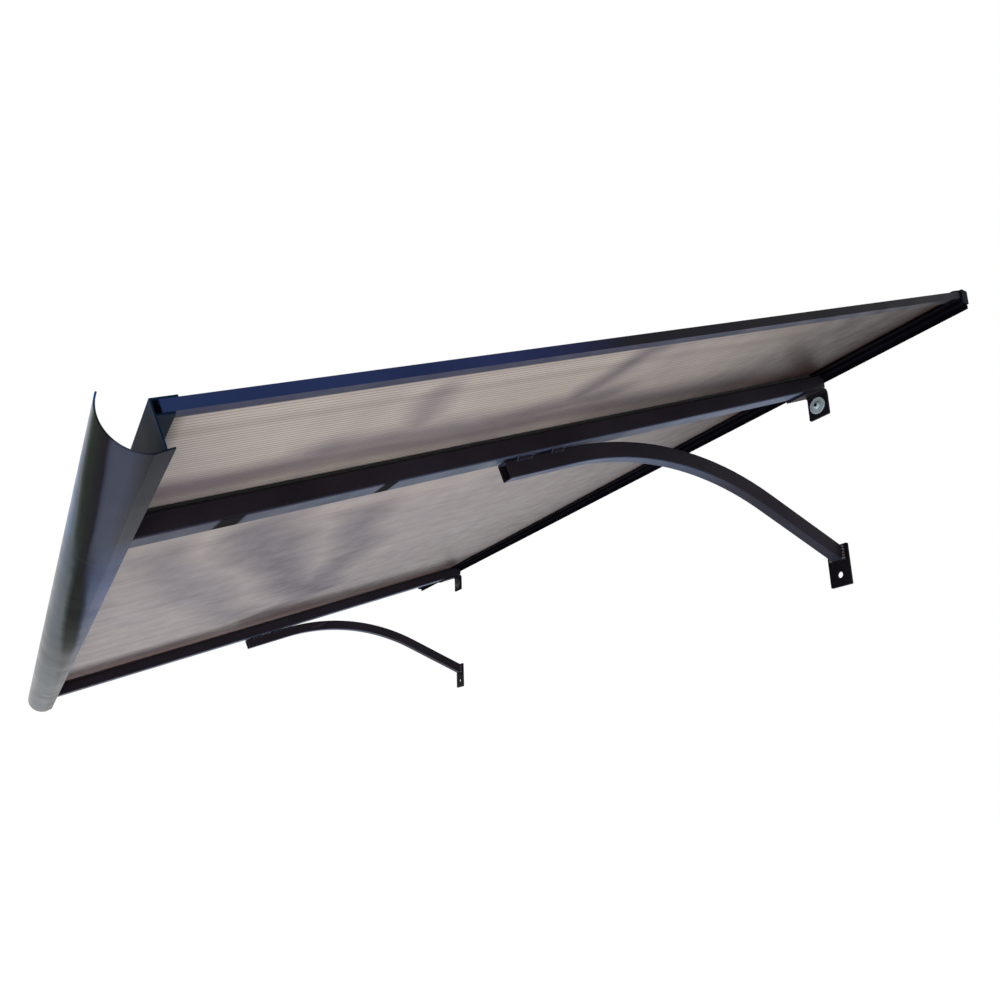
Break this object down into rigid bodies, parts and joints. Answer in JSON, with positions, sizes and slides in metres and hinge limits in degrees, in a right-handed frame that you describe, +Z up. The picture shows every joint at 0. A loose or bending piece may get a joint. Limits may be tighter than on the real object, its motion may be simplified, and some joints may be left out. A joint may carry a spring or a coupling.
{
  "type": "door canopy",
  "caption": "Wall-hung door canopy with a sloping twin-wall sheet, tube rafters, arched tube arms below, a folded fascia and an open front gutter.",
  "frame": {"origin": "middle of the wall rail's back face, where the plane of the rafters' tops meets the wall", "axes": "+X along the wall and the rail, +Y into the wall, +Z up; the canopy reaches out along -Y"},
  "size_m": [1.9046, 1.1877, 0.4819],
  "materials": {
    "painted_tube": "black powder coat on aluminium, satin",
    "rail_paint": "black powder coat on aluminium, satin",
    "trim_paint": "dark blue-black powder coat on aluminium, satin",
    "front_paint": "dark grey paint on folded aluminium sheet",
    "gutter_paint": "glossy dark slate paint on aluminium sheet",
    "clear_bronze_sheet": "ribbed twin-wall sheet, translucent",
    "black_gasket": "matte",
    "cap_plastic": "moulded, matte",
    "zinc_plate": "zinc plated"
  },
  "bodies": {
    "root": {"wall_rail": "rail_paint", "rail_cap_left": "cap_plastic", "rail_cap_right": "cap_plastic", "roof_sheet": "clear_bronze_sheet", "side_trim_left": "trim_paint", "side_trim_right": "trim_paint", "front_fascia": "front_paint", "gutter": "gutter_paint", "rafter_left": "painted_tube", "rafter_right": "painted_tube", "sheet_gasket_left": "black_gasket", "sheet_gasket_right": "black_gasket", "arm_left": "painted_tube", "arm_right": "painted_tube", "wall_plate_left": "painted_tube", "wall_plate_right": "painted_tube", "wall_lug_left": "painted_tube", "wall_lug_right": "painted_tube", "lug_washer_left": "zinc_plate", "lug_washer_right": "zinc_plate", "lug_screw_left": "zinc_plate", "lug_screw_right": "zinc_plate"}
  },
  "joints": []
}
